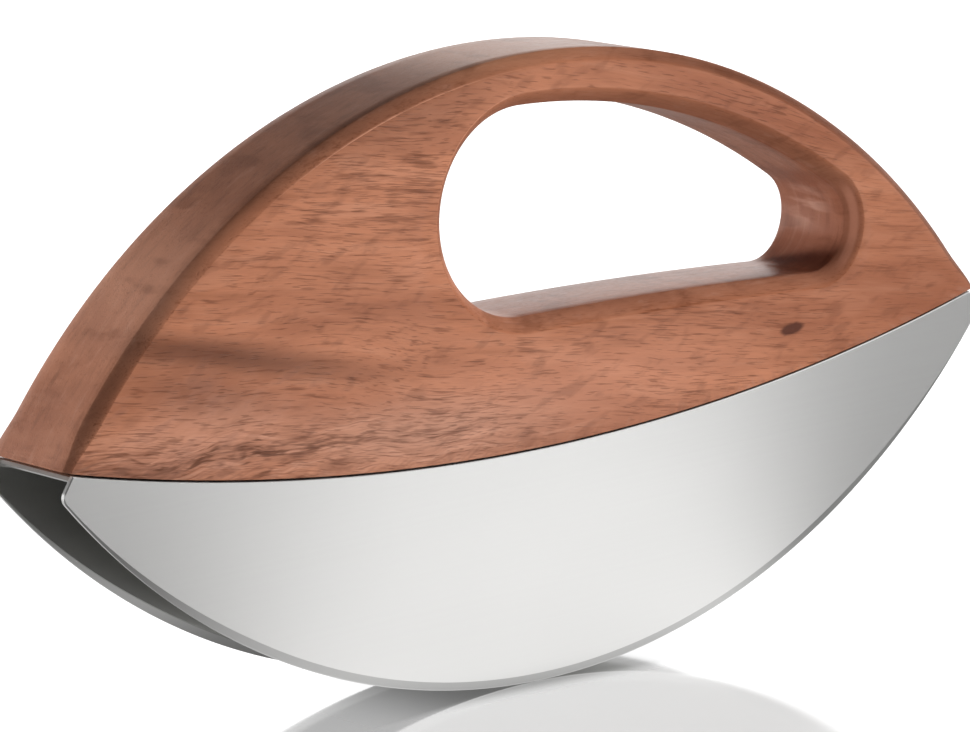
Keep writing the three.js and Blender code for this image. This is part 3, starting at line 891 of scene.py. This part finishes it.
# Table
FLOOR_REACH = 4.0
FLOOR_ROWS = 9
FLOOR_MIRROR = 0.65  # share of the table's light that is mirrored
FLOOR_GLOSS = (0.93, 0.93, 0.93, 1)
FLOOR_HAZE_CELLS = (3, 3, 3)
FLOOR_CLEARANCE = 0.02 * MM
TABLE_TILT = math.radians(1.9)  # the tool stands rocked by this much, with its +X end up
SHADOW_LENGTH = (2 * MM, 50 * MM)  # from the tool's foot to where its painted contact shadow ends
SHADOW_WIDTH = (-2 * MM, 8 * MM)  # the same, out from the faces of the blades
STRIP_AZIMUTH = 41.5  # direction of the painted strip of light on the table in front of the tool, a glow that only reflections see
STRIP_LEFT = (-88 * MM, -36 * MM)  # where it comes up and goes down, across its length
STRIP_RIGHT = (20 * MM, 53 * MM)


def floor():
    """Glossy white table that glows white, with a painted contact shadow where its glow and colour fall
    near the tool's foot, real shadows from the lamps, a painted strip of light that only reflections see,
    and the tool's mirror image.

    It is a flat sheet, tilted about Y and touching the round cutting edges from below.
    """
    f = Finish("white_table")
    rays = f.add("ShaderNodeLightPath").outputs
    from_foot = f.math("ADD", f.x, EDGE_RADIUS * math.sin(TABLE_TILT))
    from_blade = f.math("SUBTRACT", f.math("ABSOLUTE", f.y), HALF_BODY)
    beside = f.ramp(f.math("ABSOLUTE", from_foot), *SHADOW_LENGTH)
    clear = f.math("MAXIMUM", beside, f.ramp(from_blade, *SHADOW_WIDTH))
    # painted contact shadow: the glow that camera rays see falls away near the tool's foot
    glow_with_painted_shadow = f.ramp(clear, 0.0, 1.0, 0.3, 1.15)

    # painted light: a strip of glow in front of the tool that only reflections see
    across = f.axes(f.mapped(f.place, turn=(0, 0, math.radians(-STRIP_AZIMUTH))))[0]
    strip = f.product(f.ramp(across, *STRIP_LEFT, 0.12, 1.0), f.ramp(across, *STRIP_RIGHT, 1.0, 0.0))
    # painted light: a glow on the table behind the tool that only reflections see
    behind = f.product(f.ramp(f.y, 12 * MM, 60 * MM, 0.0, 0.6), f.ramp(f.x, 40 * MM, -60 * MM))
    in_front = f.ramp(f.y, -17 * MM, -4 * MM, 1.72, 0.25)
    mirrored_glow = f.math("ADD", f.product(strip, in_front), behind)
    seen = f.math("MAXIMUM", rays["Is Camera Ray"], rays["Is Transmission Ray"])
    glow = f.math("ADD", f.product(rays["Is Glossy Ray"], mirrored_glow), f.product(seen, glow_with_painted_shadow))

    # painted contact shadow: the table's colour darker near the tool's foot
    contact = f.ramp(clear, 0.0, 1.0, 0.1, 0.6)
    f.set(Base_Color=f.blend(rays["Is Glossy Ray"], contact, 0.25), Roughness=0.5)
    f.set(Specular_IOR_Level=0.0, Emission_Color=(1, 1, 1, 1), Emission_Strength=glow)
    haze = f.noise(f.place, FLOOR_HAZE_CELLS, detail=1.0)
    gloss = f.add("ShaderNodeBsdfGlossy", {"Roughness": f.ramp(haze, 0.3, 0.7, 0.06, 0.1)})
    f.feed(gloss.inputs["Color"], FLOOR_GLOSS)
    share = f.blend(rays["Is Glossy Ray"], FLOOR_MIRROR, f.ramp(f.y, 0.0, 15 * MM, 0.5, 0.25))
    both = f.add("ShaderNodeMixShader", {0: share, 1: f.surface.outputs[0], 2: gloss.outputs[0]})
    f.feed(f.tree.nodes["Material Output"].inputs["Surface"], both.outputs[0])

    reach = np.linspace(-FLOOR_REACH, FLOOR_REACH, FLOOR_ROWS)
    foot_z = EDGE_Z - EDGE_RADIUS / math.cos(TABLE_TILT) - FLOOR_CLEARANCE
    sheet = grid(reach[:, None], reach[None, :], foot_z - reach[:, None] * math.tan(TABLE_TILT))
    mesh = bpy.data.meshes.new("table_top")
    mesh.from_pydata(sheet.reshape(-1, 3).tolist(), [], quads(sheet, 0).tolist())
    mesh.materials.append(f.material)
    made = bpy.data.objects.new("table_top", mesh)
    bpy.context.scene.collection.objects.link(made)


# Surroundings: levels of light, and the slopes of a ray between which they change
FILL_LEVEL = 0.09
FRONT_LEVEL = 0.75  # surroundings on the viewer's side, as polished surfaces mirror them
SIDE_LEVEL = 0.9
BACK_LEVEL = 1.3
OVERHEAD_LEVEL = 0.08
TOP_BOX_LEVEL = 1.2
BACK_SLOPE = (0.3, 0.65)
FRONT_SLOPE = (-0.3, -0.6)
OVERHEAD_SLOPE = (0.24, 0.42)
TOP_BOX_TOWARDS = (0.65, -0.2, 0.73)
TOP_BOX_EDGE = (0.9, 0.97)

# Points that the soft boxes face
FRONT_BOX_AIM = (0, 0, 50 * MM)
LEFT_BOX_AIM = (-70 * MM, 0, 70 * MM)
REAR_BOX_AIM = (0, 0, 80 * MM)


def studio_world():
    """White backdrop for what is seen or mirrored, dimmer in front and overhead, and a soft grey fill."""
    world = bpy.data.worlds.new("studio")
    world.use_nodes = True
    bpy.context.scene.world = world
    w = Nodes(world.node_tree)
    rays = w.add("ShaderNodeLightPath").outputs
    ray = w.add("ShaderNodeTexCoord").outputs["Generated"]
    depth, height = w.axes(ray)[1:]
    mirrored = w.ramp(depth, *BACK_SLOPE, SIDE_LEVEL, BACK_LEVEL)
    mirrored = w.math("ADD", mirrored, w.ramp(depth, *FRONT_SLOPE, 0.0, FRONT_LEVEL - SIDE_LEVEL))
    mirrored = w.product(mirrored, w.ramp(height, *OVERHEAD_SLOPE, 1.0, OVERHEAD_LEVEL))
    towards = w.add("ShaderNodeVectorMath", {0: ray, 1: TOP_BOX_TOWARDS}, operation="DOT_PRODUCT")
    top_box = w.ramp(towards.outputs["Value"], *TOP_BOX_EDGE, 0.0, TOP_BOX_LEVEL)
    mirrored = w.math("ADD", mirrored, top_box)
    seen = w.math("MAXIMUM", rays["Is Camera Ray"], rays["Is Transmission Ray"])
    strength = w.blend(rays["Is Glossy Ray"], FILL_LEVEL, mirrored)
    backdrop = w.tree.nodes["Background"]
    w.feed(backdrop.inputs["Strength"], w.blend(seen, strength, 1.0))
    w.feed(backdrop.inputs["Color"], (1, 1, 1, 1))


def direction_to(azimuth, elevation):
    """Unit vector towards an azimuth, 0 at the front and 90 at +X, and an elevation, in degrees."""
    a = math.radians(azimuth)
    e = math.radians(elevation)
    return Vector((math.sin(a) * math.cos(e), -math.cos(a) * math.cos(e), math.sin(e)))


def lamp(name, aim, azimuth, elevation, distance, size, level):
    """Soft box facing a point. A level of 1 lights a surface that faces it as its colour is written."""
    light = bpy.data.lights.new(name, "AREA")
    light.shape = "RECTANGLE"
    light.size, light.size_y = size
    light.energy = level * math.pi**2 * distance**2
    made = bpy.data.objects.new(name, light)
    towards = direction_to(azimuth, elevation)
    made.location = Vector(aim) + towards * distance
    made.rotation_euler = towards.to_track_quat("Z", "Y").to_euler()
    made.visible_camera = False
    made.visible_glossy = False
    bpy.context.scene.collection.objects.link(made)


def studio_light():
    """Low soft boxes at the front right and behind the left tip, and one behind the right end."""
    studio_world()
    lamp("front_box", FRONT_BOX_AIM, azimuth=34, elevation=0, distance=1.6, size=(0.8, 0.08), level=1.15)
    lamp("left_box", LEFT_BOX_AIM, azimuth=-124, elevation=-6, distance=0.4, size=(0.16, 0.03), level=1.5)
    lamp("rear_box", REAR_BOX_AIM, azimuth=125, elevation=24, distance=1.4, size=(0.4, 0.3), level=1.2)


# Camera
CAMERA_AZIMUTH = -40.467
CAMERA_ELEVATION = 12.007
CAMERA_ROLL = -1.415
CAMERA_DISTANCE = 860.1 * MM
CAMERA_TARGET = (-7.49 * MM, 0, 49.97 * MM)
IMAGE_WIDTH = 970
IMAGE_HEIGHT = 732
FOCAL_PIXELS = 5461.4
CENTRE_PIXEL = (475.95, 367.72)  # where the camera's axis meets the picture
SENSOR_WIDTH = 36


def camera():
    """Long lens at the photograph's viewing angle, rolled and shifted a little as its framing needs."""
    back = direction_to(CAMERA_AZIMUTH, CAMERA_ELEVATION)
    right = (-back).cross(Vector((0, 0, 1))).normalized()
    up = right.cross(-back)
    roll = math.radians(CAMERA_ROLL)
    across = right * math.cos(roll) + up * math.sin(roll)
    upward = up * math.cos(roll) - right * math.sin(roll)
    lens = bpy.data.cameras.new("long_lens")
    lens.sensor_width = SENSOR_WIDTH
    lens.lens = FOCAL_PIXELS * SENSOR_WIDTH / IMAGE_WIDTH
    lens.shift_x = (IMAGE_WIDTH / 2 - CENTRE_PIXEL[0]) / IMAGE_WIDTH
    lens.shift_y = (CENTRE_PIXEL[1] - IMAGE_HEIGHT / 2) / IMAGE_WIDTH
    made = bpy.data.objects.new("long_lens", lens)
    turn = Matrix((across, upward, back)).transposed().to_4x4()
    made.matrix_world = Matrix.Translation(Vector(CAMERA_TARGET) + back * CAMERA_DISTANCE) @ turn
    bpy.context.scene.collection.objects.link(made)
    bpy.context.scene.camera = made


camera()
studio_light()
floor()
handle()
satin = blade_steel()
blade("crescent_front", "front_blade", -1, satin)
blade("crescent_rear", "rear_blade", 1, satin)
bridge_plate()
screws()

bpy.context.scene.view_settings.view_transform = "Standard"
